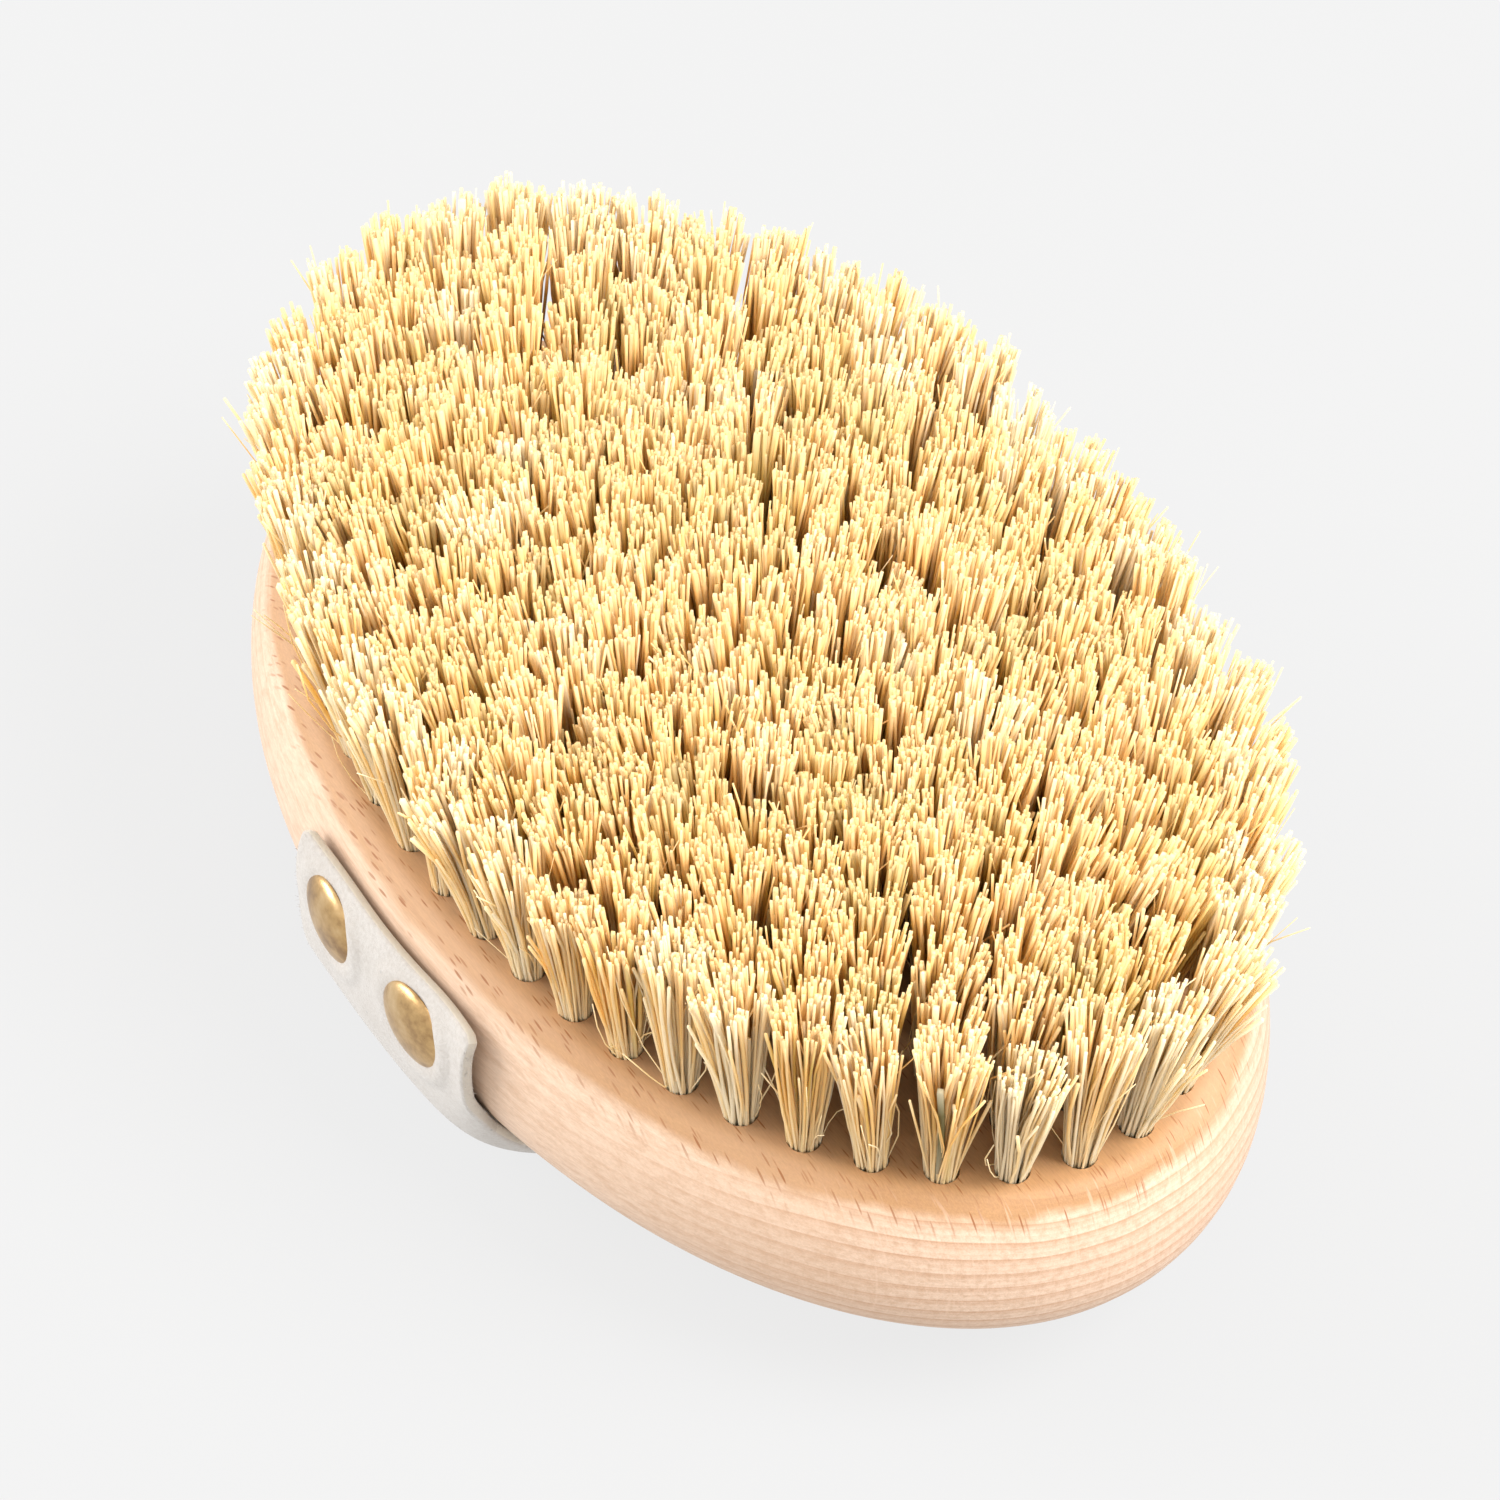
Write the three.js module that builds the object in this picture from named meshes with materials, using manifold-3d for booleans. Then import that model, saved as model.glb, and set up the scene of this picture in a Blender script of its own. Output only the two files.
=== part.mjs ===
// Body dry brush: an oval beech block, a field of plant-fibre tufts and a nailed suede hand strap.
// Millimetres, +Z up. The brush lies on its strap with the bristles up. X is the long axis.
// The origin is on the resting surface, under the middle of the block.

import * as THREE from 'three';
import { mergeVertices } from 'three/addons/utils/BufferGeometryUtils.js';
import Module from 'manifold-3d';

// ---- Driving dimensions ----
const BLOCK_LENGTH = 135;
const BLOCK_WIDTH = 85;
const RIM_HEIGHT = 11.6; // from the bristle face down to the widest level
const RIM_INSET = 5; // how far the flat face stops inside the widest outline
const BACK_ROUND = 12.4; // radius of the rounding under the widest level
const STRAP_WIDTH = 32;
const STRAP_THICKNESS = 1.8;
const HAND_GAP = 5.5; // free height between the block's back and the strap as it lies
const STRAP_TOP_DEPTH = 3.4; // strap's upper edge, below the bristle face
const STRAP_FLAT_HALF = 24; // half the length of strap that lies flat
const STRAP_SQUARENESS = 2.5; // of its turn under the back: 2 is elliptical, more is squarer
const ROW_LENGTH = 120.7; // oval through the outermost tuft holes
const ROW_WIDTH = 70.8;
const ROW_SPACING = 5.9;
const ROW_COUNTS = [46, 40, 34, 30, 24, 20]; // tufts in each oval row, outermost first
const CENTRE_COUNT = 9; // tufts in the straight middle row
const HOLE_RADIUS = 1.7;
const HOLE_DEPTH = 7;
const TUFT_HEIGHT = 21.5; // above the bristle face
const TUFT_TIP_RADIUS = 3;
const TUFT_LEAN = 2.4; // how far the outer tufts' tips lean outwards
const NAIL_OFFSET = 7.6; // half the distance between the two nails on one side
const NAIL_SHIFT = -0.9; // the pair's middle, along the block from the strap's centre line
const NAIL_DEPTH = 9.2; // nail centre, below the bristle face
const NAIL_HEAD_RADIUS = 4.6;
const NAIL_HEAD_HEIGHT = 1.6;
const NAIL_SHANK_RADIUS = 0.9;
const NAIL_BITE = 10.5; // length of shank in the wood
const CLEARANCE = 0.3;

// ---- Levels and half sizes that follow ----
const HALF_LENGTH = BLOCK_LENGTH / 2;
const HALF_WIDTH = BLOCK_WIDTH / 2;
const BACK_Z = STRAP_THICKNESS + HAND_GAP;
const WIDEST_Z = BACK_Z + BACK_ROUND;
const FACE_Z = WIDEST_Z + RIM_HEIGHT;
const TIP_Z = FACE_Z + TUFT_HEIGHT;
const HOLE_FLOOR_Z = FACE_Z - HOLE_DEPTH;
const ROOT_Z = HOLE_FLOOR_Z + CLEARANCE;
const ROOT_RADIUS = HOLE_RADIUS - CLEARANCE;
const BAND_Z = FACE_Z + 6; // where neighbouring tufts of one inner row have grown together
const NAIL_Z = FACE_Z - NAIL_DEPTH;
const PILOT_RADIUS = NAIL_SHANK_RADIUS + CLEARANCE;

// ---- Facet counts ----
const OUTLINE_SEGMENTS = 44;
const BAND_SEGMENTS = 16; // facets in half of one inner row's band
const RIM_SEGMENTS = 5;
const STRAP_STEPS = 6;
const STRAP_TURN_SEGMENTS = 9;
const NAIL_SIDES = 12;
const OUTER_HOLE_SIDES = 8;
const INNER_HOLE_SIDES = 6;

const COLOURS = {
  beech: { color: 0xe6b888, roughness: 0.55, metalness: 0 },
  suede: { color: 0xe4ded2, roughness: 0.95, metalness: 0 },
  fibre: { color: 0xe3d19a, roughness: 0.8, metalness: 0 },
  brass: { color: 0xc09a52, roughness: 0.35, metalness: 1 },
};

const wasm = await Module();
wasm.setup();

// ---- Solid modelling helpers ----
function toManifold(geometry) {
  const plain = geometry.clone();
  plain.deleteAttribute('normal');
  plain.deleteAttribute('uv');
  const merged = mergeVertices(plain, 1e-4);
  const index = merged.index.array;
  const triangles = [];
  for (let i = 0; i < index.length; i += 3) {
    const [a, b, c] = [index[i], index[i + 1], index[i + 2]];
    const collapsed = a === b || b === c || c === a;
    if (!collapsed) triangles.push(a, b, c);
  }
  const mesh = new wasm.Mesh({
    numProp: 3,
    vertProperties: new Float32Array(merged.attributes.position.array),
    triVerts: new Uint32Array(triangles),
  });
  mesh.merge();
  return new wasm.Manifold(mesh);
}

function toGeometry(solid) {
  const { vertProperties, triVerts } = solid.getMesh();
  const geometry = new THREE.BufferGeometry();
  geometry.setAttribute('position', new THREE.BufferAttribute(vertProperties, 3));
  geometry.setIndex(new THREE.BufferAttribute(triVerts, 1));
  geometry.computeVertexNormals();
  return geometry;
}

function cut(body, tools) {
  return tools.reduce((left, tool) => left.subtract(toManifold(tool)), toManifold(body));
}

function join(pieces) {
  return pieces.map(toManifold).reduce((whole, piece) => whole.add(piece));
}

function addPiece(group, name, geometry, finish) {
  const piece = new THREE.Mesh(geometry, new THREE.MeshStandardMaterial(COLOURS[finish]));
  piece.name = name;
  group.add(piece);
  return piece;
}

// A solid of revolution about +Z from points of (radius, height).
function turned(points, segments) {
  const profile = points.map(([radius, z]) => new THREE.Vector2(radius, z));
  return new THREE.LatheGeometry(profile, segments).rotateX(Math.PI / 2);
}

// An upright prism between two heights.
function post(radius, lowZ, highZ, sides, { x, y }) {
  const prism = new THREE.CylinderGeometry(radius, radius, highZ - lowZ, sides);
  return prism.rotateX(Math.PI / 2).translate(x, y, (lowZ + highZ) / 2);
}

// ---- Block ----
// How far the side lies inside the widest outline at a height above the widest level.
function rimInset(z) {
  const rise = Math.max(0, z - WIDEST_Z) / RIM_HEIGHT;
  return RIM_INSET * (1 - Math.sqrt(Math.max(0, 1 - rise * rise)));
}

function blockProfile() {
  const points = [[0, BACK_Z]];
  for (let i = 0; i <= RIM_SEGMENTS; i += 1) {
    const angle = (Math.PI / 2) * (1 - i / RIM_SEGMENTS);
    const inset = BACK_ROUND * (1 - Math.cos(angle));
    points.push([HALF_LENGTH - inset, WIDEST_Z - BACK_ROUND * Math.sin(angle)]);
  }
  for (let i = 1; i <= RIM_SEGMENTS; i += 1) {
    const z = WIDEST_Z + RIM_HEIGHT * Math.sin((Math.PI / 2) * (i / RIM_SEGMENTS));
    points.push([HALF_LENGTH - rimInset(z), z]);
  }
  points.push([0, FACE_Z]);
  return points;
}

// Turns the round blank into an oval one: each point keeps its inset from the outline.
function makeOval(geometry) {
  const position = geometry.attributes.position;
  for (let i = 0; i < position.count; i += 1) {
    const x = position.getX(i);
    const y = position.getY(i);
    const radius = Math.hypot(x, y);
    if (radius < 1) continue;
    const outline = new THREE.Vector2((x / radius) * HALF_LENGTH, (y / radius) * HALF_WIDTH);
    const normal = new THREE.Vector2(outline.x / HALF_LENGTH ** 2, outline.y / HALF_WIDTH ** 2);
    normal.setLength(HALF_LENGTH - radius);
    position.setXY(i, outline.x - normal.x, outline.y - normal.y);
  }
  return geometry;
}

function blockGeometry(rows, nailPlaces) {
  const blank = makeOval(turned(blockProfile(), OUTLINE_SEGMENTS));
  const holes = rows.flatMap(({ places, sides }) =>
    places.map((place) => post(HOLE_RADIUS, HOLE_FLOOR_Z, FACE_Z + 1, sides, place)));
  const pilots = nailPlaces.map((place) => pilotHole(place, NAIL_BITE + CLEARANCE, 1));
  return toGeometry(cut(blank, [...holes, ...pilots]));
}

// ---- Tufts ----
// Row 0 is the outermost oval. Alternate rows are shifted by half a pitch.
function ovalRow(rowIndex) {
  const inset = rowIndex * ROW_SPACING;
  const count = ROW_COUNTS[rowIndex];
  const shift = rowIndex % 2 === 0 ? 0.5 : 0;
  const oval = new THREE.EllipseCurve(0, 0, ROW_LENGTH / 2 - inset, ROW_WIDTH / 2 - inset);
  const places = [];
  for (let i = 0; i < count; i += 1) places.push(oval.getPointAt((i + shift) / count));
  return { places, sides: rowIndex === 0 ? OUTER_HOLE_SIDES : INNER_HOLE_SIDES };
}

function centreRow() {
  const reach = ROW_LENGTH / 2 - ROW_COUNTS.length * ROW_SPACING;
  const line = new THREE.LineCurve(new THREE.Vector2(-reach, 0), new THREE.Vector2(reach, 0));
  return { places: line.getSpacedPoints(CENTRE_COUNT - 1), sides: INNER_HOLE_SIDES };
}

// One tuft: a round root in its hole, opening to a wide tip that leans outwards.
function outerTuft({ x, y }) {
  const neckZ = FACE_Z + 1;
  const profile = [[0, ROOT_Z], [ROOT_RADIUS, ROOT_Z], [ROOT_RADIUS, neckZ],
    [TUFT_TIP_RADIUS, TIP_Z], [0, TIP_Z]];
  const tuft = turned(profile, OUTER_HOLE_SIDES);
  const out = new THREE.Vector2(x / ROW_LENGTH ** 2, y / ROW_WIDTH ** 2).setLength(TUFT_LEAN);
  const position = tuft.attributes.position;
  for (let i = 0; i < position.count; i += 1) {
    const rise = Math.max(0, position.getZ(i) - neckZ) / (TIP_Z - neckZ);
    position.setX(i, position.getX(i) + out.x * rise);
    position.setY(i, position.getY(i) + out.y * rise);
  }
  return tuft.translate(x, y, 0);
}

// The oval halfway between one row and the next, a little inside or outside it.
function ovalBetweenRows(rowIndex, grow) {
  const inset = (rowIndex + 0.5) * ROW_SPACING - grow;
  const [rx, ry] = [ROW_LENGTH / 2 - inset, ROW_WIDTH / 2 - inset];
  return new THREE.Shape().absellipse(0, 0, rx, ry, 0, Math.PI * 2);
}

// An inner row: separate roots below, and above them the band where the tufts' tips meet.
function innerRow(rowIndex, { places, sides }) {
  const band = ovalBetweenRows(rowIndex - 1, -CLEARANCE);
  const isCentre = rowIndex === ROW_COUNTS.length;
  if (!isCentre) band.holes.push(ovalBetweenRows(rowIndex, CLEARANCE));
  const settings = { depth: TIP_Z - BAND_Z, bevelEnabled: false, curveSegments: BAND_SEGMENTS };
  const tips = new THREE.ExtrudeGeometry(band, settings).translate(0, 0, BAND_Z);
  const roots = places.map((place) => post(ROOT_RADIUS, ROOT_Z, BAND_Z + 1, sides, place));
  return toGeometry(join([tips, ...roots]));
}

// ---- Strap ----
const STRAP_MIDLINE_Y = HALF_WIDTH + CLEARANCE + STRAP_THICKNESS / 2; // at the widest level

// The middle of the strap's thickness on one side, from its top edge to where it lies flat.
function strapSideLine() {
  const line = [];
  const topZ = FACE_Z - STRAP_TOP_DEPTH;
  const wallSteps = 4;
  for (let i = 0; i < wallSteps; i += 1) {
    const z = THREE.MathUtils.lerp(topZ, WIDEST_Z, i / wallSteps);
    line.push(new THREE.Vector2(STRAP_MIDLINE_Y - rimInset(z), z));
  }
  const power = 2 / STRAP_SQUARENESS;
  for (let i = 0; i <= STRAP_TURN_SEGMENTS; i += 1) {
    const angle = (Math.PI / 2) * (i / STRAP_TURN_SEGMENTS);
    const out = (STRAP_MIDLINE_Y - STRAP_FLAT_HALF) * Math.cos(angle) ** power;
    const down = (WIDEST_Z - STRAP_THICKNESS / 2) * Math.sin(angle) ** power;
    line.push(new THREE.Vector2(STRAP_FLAT_HALF + out, WIDEST_Z - down));
  }
  return line;
}

function strapSection() {
  const side = strapSideLine();
  const mirrored = side.map((point) => new THREE.Vector2(-point.x, point.y)).reverse();
  const midline = [...side, ...mirrored];
  const faces = [1, -1].map((facing) => midline.map((point, i) => {
    const before = midline[Math.max(0, i - 1)];
    const after = midline[Math.min(midline.length - 1, i + 1)];
    const along = after.clone().sub(before).setLength((facing * STRAP_THICKNESS) / 2);
    return new THREE.Vector2(point.x - along.y, point.y + along.x);
  }));
  return new THREE.Shape([...faces[0], ...faces[1].reverse()]);
}

// How far the block's outline has drawn in from its full width at a distance along it.
function outlineDrawIn(x) {
  return HALF_WIDTH * (1 - Math.sqrt(1 - (x / HALF_LENGTH) ** 2));
}

// The flat strip is bent round the oval where it lies on the block's sides.
function bendToOutline(geometry) {
  const position = geometry.attributes.position;
  for (let i = 0; i < position.count; i += 1) {
    const grip = THREE.MathUtils.smoothstep(position.getZ(i), STRAP_THICKNESS, WIDEST_Z);
    const drawIn = outlineDrawIn(position.getX(i)) * grip;
    const y = position.getY(i);
    position.setY(i, y - Math.sign(y) * drawIn);
  }
  return geometry;
}

function strapGeometry(nailPlaces) {
  const settings = { depth: STRAP_WIDTH, steps: STRAP_STEPS, bevelEnabled: false };
  const strip = new THREE.ExtrudeGeometry(strapSection(), settings);
  strip.translate(0, 0, -STRAP_WIDTH / 2);
  // The section is drawn as (y, z): turn the extrusion so that it runs along X.
  strip.applyMatrix4(new THREE.Matrix4().set(0, 0, 1, 0, 1, 0, 0, 0, 0, 1, 0, 0, 0, 0, 0, 1));
  const shankHoles = nailPlaces.map((place) => pilotHole(place, 1, STRAP_THICKNESS + 2));
  return toGeometry(cut(bendToOutline(strip), shankHoles));
}

// ---- Nails ----
// Where each nail enters the block's side, and its outward direction in plan.
function nailPlace(sideX, sideY) {
  const x = sideX * NAIL_OFFSET + NAIL_SHIFT;
  const y = sideY * (HALF_WIDTH - outlineDrawIn(x) - rimInset(NAIL_Z));
  const outward = new THREE.Vector2(x / HALF_LENGTH ** 2, y / HALF_WIDTH ** 2).normalize();
  return { x, y, outward };
}

// Moves a piece made along +Z so that it points out of the block's side at a nail's place.
function aimNail(geometry, { x, y, outward }) {
  const turn = new THREE.Quaternion().setFromUnitVectors(
    new THREE.Vector3(0, 0, 1), new THREE.Vector3(outward.x, outward.y, 0));
  return geometry.applyQuaternion(turn).translate(x, y, NAIL_Z);
}

function pilotHole(place, inwards, outwards) {
  return aimNail(post(PILOT_RADIUS, -inwards, outwards, 8, { x: 0, y: 0 }), place);
}

function nailGeometry(place) {
  const seat = STRAP_THICKNESS + 2 * CLEARANCE;
  const pointLength = 2;
  const domeSteps = 4;
  const points = [[0, -NAIL_BITE], [NAIL_SHANK_RADIUS, pointLength - NAIL_BITE],
    [NAIL_SHANK_RADIUS, seat]];
  for (let i = 0; i < domeSteps; i += 1) {
    const angle = (Math.PI / 2) * (i / domeSteps);
    points.push([NAIL_HEAD_RADIUS * Math.cos(angle), seat + NAIL_HEAD_HEIGHT * Math.sin(angle)]);
  }
  points.push([0, seat + NAIL_HEAD_HEIGHT]);
  return aimNail(turned(points, NAIL_SIDES), place);
}

// ---- Assembly ----
const brush = new THREE.Group();
const outerRow = ovalRow(0);
const innerRows = ROW_COUNTS.slice(1).map((_, i) => ovalRow(i + 1));
innerRows.push(centreRow());
const nails = [
  ['strap_nail_front_a', nailPlace(-1, -1)],
  ['strap_nail_front_b', nailPlace(1, -1)],
  ['strap_nail_back_a', nailPlace(-1, 1)],
  ['strap_nail_back_b', nailPlace(1, 1)],
];
const nailPlaces = nails.map(([, place]) => place);

addPiece(brush, 'brush_block', blockGeometry([outerRow, ...innerRows], nailPlaces), 'beech');
addPiece(brush, 'hand_strap', strapGeometry(nailPlaces), 'suede');
nails.forEach(([name, place]) => addPiece(brush, name, nailGeometry(place), 'brass'));
outerRow.places.forEach((place, i) => {
  const number = String(i + 1).padStart(2, '0');
  addPiece(brush, `edge_tuft_${number}`, outerTuft(place), 'fibre');
});
innerRows.forEach((row, i) => {
  const isCentre = i === innerRows.length - 1;
  const name = isCentre ? 'tuft_row_centre' : `tuft_row_${i + 2}`;
  addPiece(brush, name, innerRow(i + 1, row), 'fibre');
});

export default brush;
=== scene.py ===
"""Body dry brush lying on its hand strap: beech block, plant-fibre tufts, suede strap, brass nails.

Sizes are in millimetres while a piece is being made and go to metres by MM. +Z is up and out of the
bristle face, X is the block's long axis, and -Y is the side of the strap that faces the camera.
"""

import math
from random import Random

import bmesh
import bpy
import numpy as np
from mathutils import Matrix, Vector, noise


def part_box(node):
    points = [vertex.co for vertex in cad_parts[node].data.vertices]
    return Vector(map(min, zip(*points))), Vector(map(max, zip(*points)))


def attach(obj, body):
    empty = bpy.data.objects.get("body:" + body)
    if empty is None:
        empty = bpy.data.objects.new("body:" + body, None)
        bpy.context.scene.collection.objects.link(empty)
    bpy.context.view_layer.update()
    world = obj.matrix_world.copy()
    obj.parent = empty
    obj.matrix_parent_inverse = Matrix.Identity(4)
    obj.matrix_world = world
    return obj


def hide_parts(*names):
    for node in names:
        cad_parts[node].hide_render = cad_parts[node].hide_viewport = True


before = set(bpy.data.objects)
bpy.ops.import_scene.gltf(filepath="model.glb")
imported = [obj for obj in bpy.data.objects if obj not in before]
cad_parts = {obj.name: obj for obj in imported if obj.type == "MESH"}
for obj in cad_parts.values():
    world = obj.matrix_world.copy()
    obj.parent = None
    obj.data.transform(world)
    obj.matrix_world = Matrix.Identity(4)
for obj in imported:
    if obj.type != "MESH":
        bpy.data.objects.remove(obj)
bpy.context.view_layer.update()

MM = 0.001
SCENE = bpy.context.scene


def box_mm(node):
    """A CAD node's lowest and highest corners, in millimetres."""
    low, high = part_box(node)
    return low / MM, high / MM


# ---- Sizes read from the frame ----
BLOCK_LOW, BLOCK_HIGH = box_mm("brush_block")
STRAP_LOW, STRAP_HIGH = box_mm("hand_strap")
ROW_2_LOW, ROW_2_HIGH = box_mm("tuft_row_2")
HALF_LENGTH = BLOCK_HIGH.x
HALF_WIDTH = BLOCK_HIGH.y
BACK_Z = BLOCK_LOW.z
FACE_Z = BLOCK_HIGH.z
ROOT_Z = ROW_2_LOW.z
TIP_Z = ROW_2_HIGH.z
STRAP_WIDTH = STRAP_HIGH.x - STRAP_LOW.x
STRAP_TOP_Z = STRAP_HIGH.z
EDGE_TUFTS = sorted(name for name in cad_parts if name.startswith("edge_tuft"))
NAILS = sorted(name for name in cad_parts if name.startswith("strap_nail"))

# ---- Sizes that the frame's boxes can't give ----
RIM_HEIGHT = 11.6  # from the bristle face down to the widest level
RIM_INSET = 5.0  # how far the flat face stops inside the widest outline
BACK_ROUND = 12.4
WIDEST_Z = FACE_Z - RIM_HEIGHT
FLAT_MARGIN = 0.25  # rings just inside the two flats keep their rims crisp
OUTLINE_STEPS = 200
ROUNDING_STEPS = 14
ROW_HALF_LENGTH = 60.35  # oval through the outermost holes
ROW_HALF_WIDTH = 35.4
ROW_SPACING = 5.9
ROW_COUNTS = [46, 40, 34, 30, 24, 20]  # outermost row first
CENTRE_COUNT = 9
HOLE_RADIUS = 1.7
HOLE_LIP = 0.07
HOLE_FLOOR_GAP = 0.3  # from a tuft's root down to the floor of its hole
HOLE_CHAMFER = 0.4
HOLE_SIDES = 20


# ================================================================ mesh helpers
def to_mesh(name, bm):
    """A mesh from a bmesh, which is freed."""
    mesh = bpy.data.meshes.new(name)
    bm.to_mesh(mesh)
    bm.free()
    return mesh


def place_mesh(name, mesh):
    """Puts a mesh made in millimetres into the scene in metres, fixed to the root body."""
    mesh.transform(Matrix.Scale(MM, 4))
    mesh.name = name
    piece = bpy.data.objects.new(name, mesh)
    SCENE.collection.objects.link(piece)
    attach(piece, "root")
    return piece


def evaluated_mesh(item):
    """An object's mesh with its modifiers or its curve's section applied."""
    graph = bpy.context.evaluated_depsgraph_get()
    return bpy.data.meshes.new_from_object(item.evaluated_get(graph))


def profile_spin(bm, points, steps):
    """Spins an open profile of (radius, height) points about +Z and closes its poles."""
    verts = [bm.verts.new((radius, 0.0, z)) for radius, z in points]
    edges = [bm.edges.new(pair) for pair in zip(verts, verts[1:])]
    bmesh.ops.spin(
        bm,
        geom=verts + edges,
        cent=(0, 0, 0),
        axis=(0, 0, 1),
        angle=2 * math.pi,
        steps=steps,
        use_merge=True,
    )
    bmesh.ops.remove_doubles(bm, verts=bm.verts, dist=1e-4)


def close_and_turn_out(bm):
    """Fills what is open and turns every face outwards."""
    open_edges = [edge for edge in bm.edges if edge.is_boundary]
    if open_edges:
        bmesh.ops.holes_fill(bm, edges=open_edges, sides=0)
    bmesh.ops.recalc_face_normals(bm, faces=bm.faces)


def shade(mesh, sharp_degrees=35):
    """Smooth shading that keeps edges sharper than the given angle."""
    bm = bmesh.new()
    bm.from_mesh(mesh)
    limit = math.radians(sharp_degrees)
    for edge in bm.edges:
        edge.smooth = not (edge.is_manifold and edge.calc_face_angle(0) > limit)
    for face in bm.faces:
        face.smooth = True
    bm.to_mesh(mesh)
    bm.free()


def arc(steps, start, end):
    """Angles of an arc, both ends included."""
    return [start + (end - start) * i / steps for i in range(steps + 1)]


# ================================================================ block
def rim_inset(z):
    """How far the block's side lies inside its widest outline at a height."""
    rise = max(0.0, z - WIDEST_Z) / RIM_HEIGHT
    return RIM_INSET * (1 - math.sqrt(max(0.0, 1 - rise * rise)))


def block_blank():
    """The round blank: rounded back, widest level, rounded rim and two flats left open."""
    quarter = math.pi / 2
    back = [
        (HALF_LENGTH - BACK_ROUND * (1 - math.cos(a)), WIDEST_Z - BACK_ROUND * math.sin(a))
        for a in arc(ROUNDING_STEPS, quarter, 0)
    ]
    rim = [
        (HALF_LENGTH - RIM_INSET * (1 - math.cos(a)), WIDEST_Z + RIM_HEIGHT * math.sin(a))
        for a in arc(ROUNDING_STEPS, 0, quarter)[1:]
    ]
    back_flat = (back[0][0] - FLAT_MARGIN, BACK_Z)
    face_flat = (rim[-1][0] - FLAT_MARGIN, FACE_Z)
    bm = bmesh.new()
    profile_spin(bm, [back_flat, *back, *rim, face_flat], OUTLINE_STEPS)
    return bm


def make_oval(bm):
    """Each point keeps its inset from the outline while the outline goes from round to oval."""
    for vert in bm.verts:
        radius = math.hypot(vert.co.x, vert.co.y)
        cosine, sine = vert.co.x / radius, vert.co.y / radius
        inward = Vector((cosine / HALF_LENGTH, sine / HALF_WIDTH))
        inward *= (HALF_LENGTH - radius) / inward.length
        vert.co.x = cosine * HALF_LENGTH - inward.x
        vert.co.y = sine * HALF_WIDTH - inward.y


def hole_cutters(places):
    """One turned cutter with a flared lip, copied to every tuft hole."""
    floor_z = ROOT_Z - HOLE_FLOOR_GAP
    profile = [
        (0, floor_z),
        (HOLE_RADIUS, floor_z + HOLE_CHAMFER),
        (HOLE_RADIUS, FACE_Z - HOLE_LIP),
        (HOLE_RADIUS + 2 * HOLE_LIP, FACE_Z + HOLE_LIP),
        (0, FACE_Z + HOLE_LIP),
    ]
    bm = bmesh.new()
    profile_spin(bm, profile, HOLE_SIDES)
    close_and_turn_out(bm)
    first_verts = bm.verts[:]
    first = first_verts + bm.edges[:] + bm.faces[:]
    for place in places[1:]:
        copy = bmesh.ops.duplicate(bm, geom=first)["geom"]
        moved = [item for item in copy if isinstance(item, bmesh.types.BMVert)]
        bmesh.ops.translate(bm, verts=moved, vec=(*place, 0))
    bmesh.ops.translate(bm, verts=first_verts, vec=(*places[0], 0))
    return to_mesh("hole_cutters", bm)


def subtract(mesh, cutter_mesh):
    """The mesh with the cutters taken out of it."""
    body = bpy.data.objects.new("blank", mesh)
    cutter = bpy.data.objects.new("cutters", cutter_mesh)
    SCENE.collection.objects.link(body)
    SCENE.collection.objects.link(cutter)
    cut = body.modifiers.new("holes", "BOOLEAN")
    cut.operation = "DIFFERENCE"
    cut.solver = "MANIFOLD"
    cut.object = cutter
    result = evaluated_mesh(body)
    bpy.data.objects.remove(body)
    bpy.data.objects.remove(cutter)
    return result


def build_block(places):
    """The oval block with a blind hole for each tuft."""
    bm = block_blank()
    make_oval(bm)
    close_and_turn_out(bm)
    mesh = subtract(to_mesh("blank", bm), hole_cutters(places))
    shade(mesh)
    block = place_mesh("beech_block", mesh)
    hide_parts("brush_block")
    return block


# ================================================================ tuft places
def oval_places(row):
    """Evenly spaced hole centres round one oval row; alternate rows shift by half a pitch."""
    inset = row * ROW_SPACING
    count = ROW_COUNTS[row]
    angles = np.linspace(0, 2 * math.pi, 2001)
    x = (ROW_HALF_LENGTH - inset) * np.cos(angles)
    y = (ROW_HALF_WIDTH - inset) * np.sin(angles)
    travelled = np.concatenate([[0], np.cumsum(np.hypot(np.diff(x), np.diff(y)))])
    shift = 0.5 if row % 2 == 0 else 0.0
    wanted = (np.arange(count) + shift) / count * travelled[-1]
    return list(zip(np.interp(wanted, travelled, x), np.interp(wanted, travelled, y)))


def centre_places():
    """Hole centres of the straight middle row."""
    reach = ROW_HALF_LENGTH - len(ROW_COUNTS) * ROW_SPACING
    return [(x, 0.0) for x in np.linspace(-reach, reach, CENTRE_COUNT)]


def tuft_rows():
    """Hole centres row by row, outermost first."""
    return [oval_places(row) for row in range(len(ROW_COUNTS))] + [centre_places()]


# ================================================================ fibres
FIBRE_POINTS = 5
FIBRE_SIDES = 4
FIBRES_PER_TUFT = 118
BUNDLE_RADIUS = 1.6  # of a tuft at its hole
FIBRE_RADIUS = 0.183
FIBRE_DEPTH = 2.6  # how far a fibre goes down its hole
LOCKS = 6  # bunches that a tuft's tips gather into
LOCK_REACH = (0.35, 0.85)  # share of the tuft's spread
LOCK_PULL = (0.1, 0.55)
GOLDEN_ANGLE = math.pi * (3 - math.sqrt(5))
OUTER_LEAN = 3.0
LEAN_FADE_ROWS = 8
OUTER_SPREAD = (3.6, 4.4)
INNER_SPREAD = (3.7, 4.5)
OUTER_TONE = -0.18
INNER_TONE = 0.13
OUTER_WISPS = 7
INNER_WISPS = 2
TONE_RANGE = (0.02, 0.93)
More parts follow.
